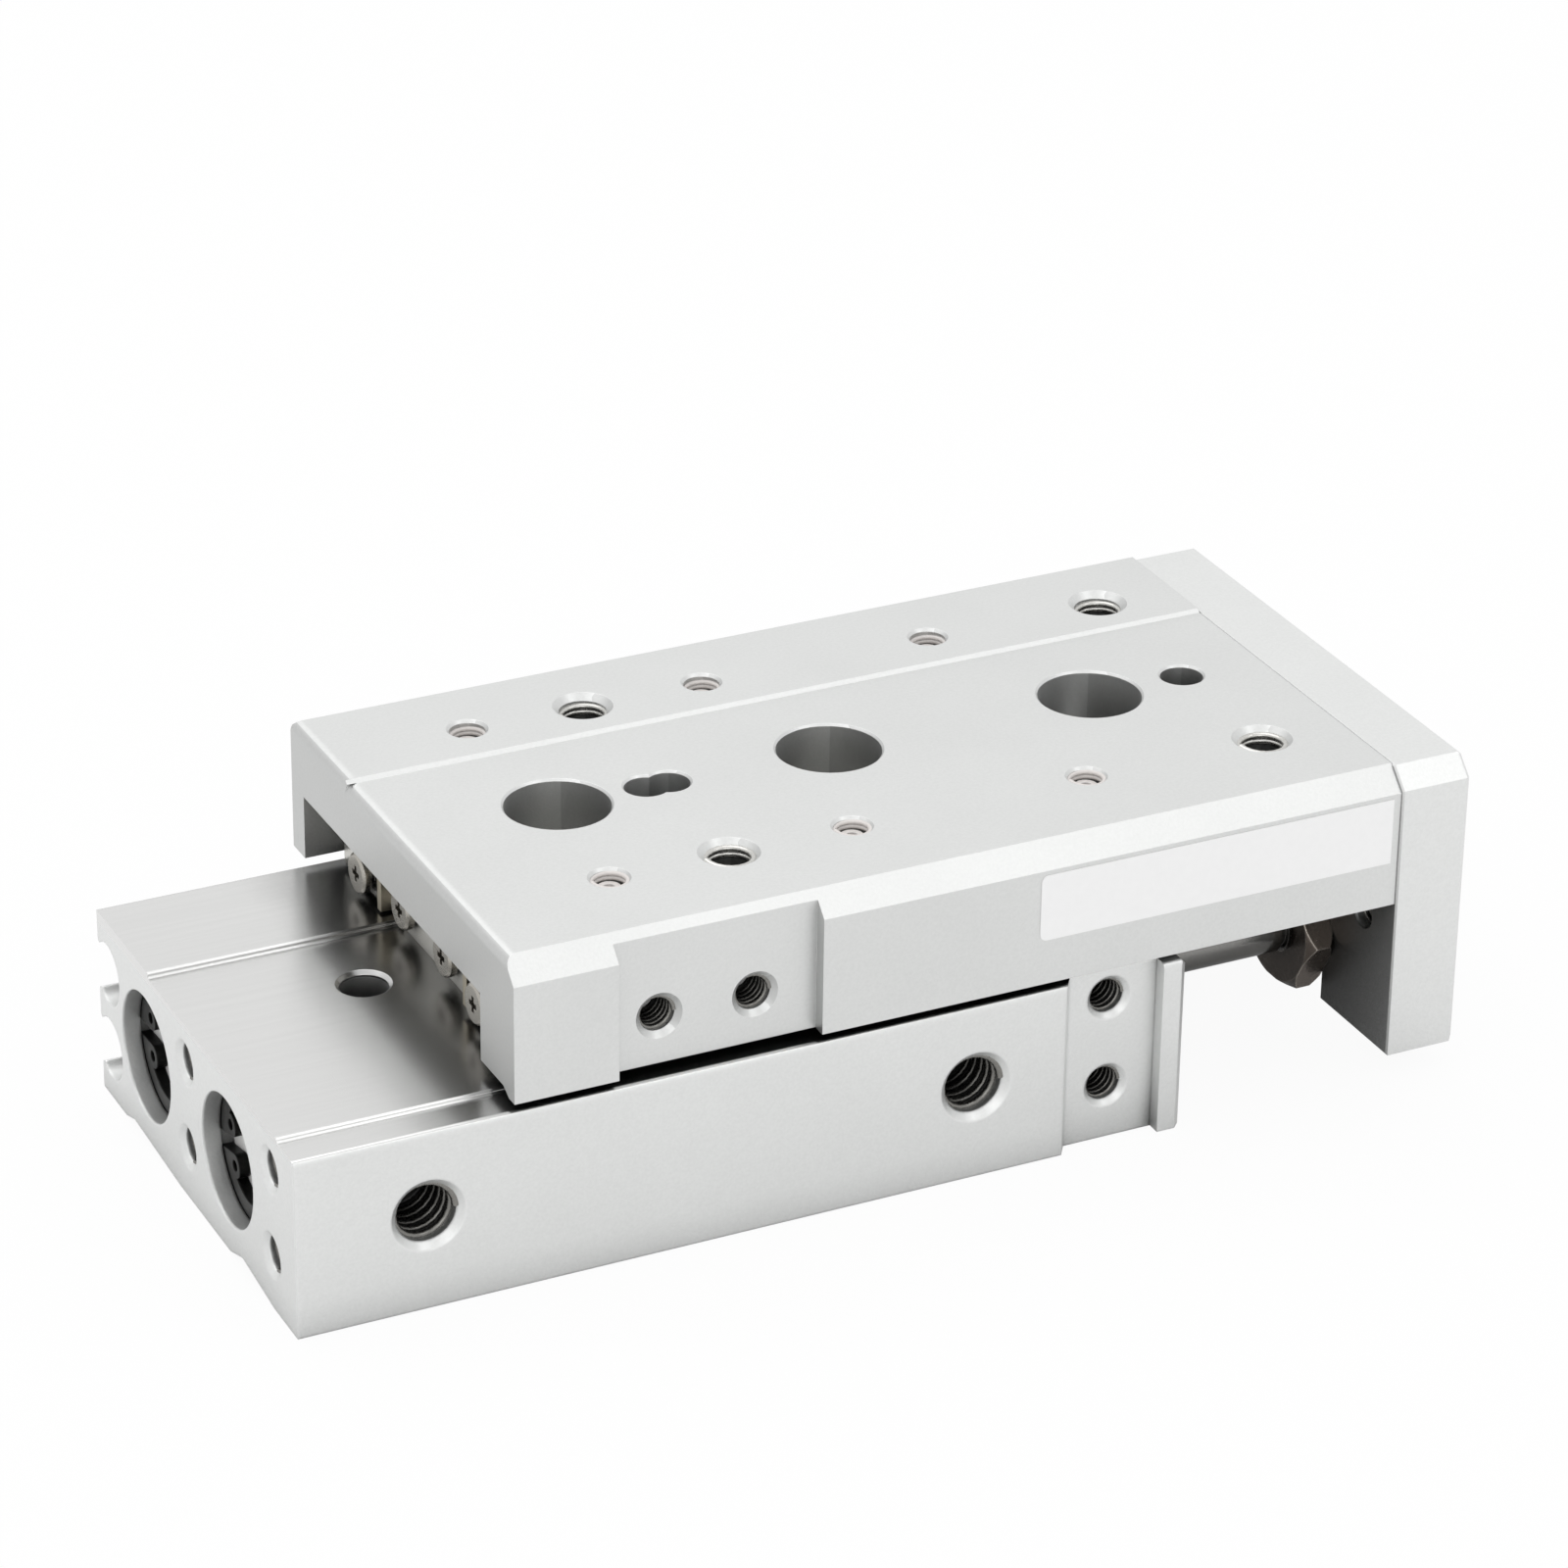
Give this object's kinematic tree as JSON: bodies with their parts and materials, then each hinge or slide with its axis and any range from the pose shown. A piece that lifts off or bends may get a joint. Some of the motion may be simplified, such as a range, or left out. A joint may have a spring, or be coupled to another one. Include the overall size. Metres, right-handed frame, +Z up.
{
  "type": "pneumatic slide table",
  "caption": "Twin-bore pneumatic slide table: a flat table on a crossed-roller guide, driven by two rods through its end plate.",
  "frame": {"origin": "middle mounting hole of the body, on its base", "axes": "+X the way the table extends, +Y towards the sensor grooves, +Z up from the base"},
  "size_m": [0.0854, 0.0379, 0.0237],
  "materials": {
    "anodised_aluminium": "satin clear anodised",
    "guide_steel": "ground",
    "screw_steel": "bright",
    "rod_steel": "polished",
    "nut_steel": "dark oxide",
    "ring_steel": "black oxide",
    "cap_aluminium": "grey anodised",
    "bushing_brass": "turned",
    "cage_brass": "stamped",
    "roller_steel": "polished",
    "seal_rubber": "matte",
    "magnet_ferrite": "matte",
    "label_film": "plain white film"
  },
  "bodies": {
    "body": {"cylinder_body": "anodised_aluminium", "rod_cover": "anodised_aluminium", "cover_screws": "screw_steel", "guide_block": "guide_steel", "block_screws": "screw_steel", "block_stop_screws": "screw_steel", "head_cap_near": "cap_aluminium", "head_cap_far": "cap_aluminium", "cap_seal_near": "seal_rubber", "cap_seal_far": "seal_rubber", "head_ring_near": "ring_steel", "head_ring_far": "ring_steel", "rod_bushing_near": "bushing_brass", "rod_bushing_far": "bushing_brass", "bushing_seal_near": "seal_rubber", "bushing_seal_far": "seal_rubber", "rod_seal_near": "seal_rubber", "rod_seal_far": "seal_rubber", "rod_ring_near": "ring_steel", "rod_ring_far": "ring_steel"},
    "table": {"table_plate": "anodised_aluminium", "end_plate": "anodised_aluminium", "plate_screws": "screw_steel", "rail_screws": "guide_steel", "rail_stop_screws": "screw_steel", "rod_screws": "screw_steel", "label": "label_film", "rail_near": "guide_steel", "rail_far": "guide_steel", "piston_rod_near": "rod_steel", "piston_rod_far": "rod_steel", "piston_near": "cap_aluminium", "piston_far": "cap_aluminium", "piston_seal_near": "seal_rubber", "piston_seal_far": "seal_rubber", "magnet_near": "magnet_ferrite", "magnet_far": "magnet_ferrite", "rod_nut_near": "nut_steel", "rod_nut_far": "nut_steel", "floating_bush_near": "screw_steel", "floating_bush_far": "screw_steel", "rod_washer_near": "screw_steel", "rod_washer_far": "screw_steel"},
    "cage_near": {"cage_near": "cage_brass", "rollers_near": "roller_steel"},
    "cage_far": {"cage_far": "cage_brass", "rollers_far": "roller_steel"}
  },
  "joints": [
    {"name": "table_slide", "type": "slide", "parent": "body", "child": "table", "axis": [1, 0, 0], "range_m": [-0.014, 0.016]},
    {"name": "cage_near_slide", "type": "slide", "parent": "body", "child": "cage_near", "axis": [1, 0, 0], "range_m": [-0.007, 0.008]},
    {"name": "cage_far_slide", "type": "slide", "parent": "body", "child": "cage_far", "axis": [1, 0, 0], "range_m": [-0.007, 0.008]}
  ],
  "couplings": [
    {"joint": "cage_near_slide", "follows": "table_slide", "ratio": 0.5},
    {"joint": "cage_far_slide", "follows": "table_slide", "ratio": 0.5}
  ]
}
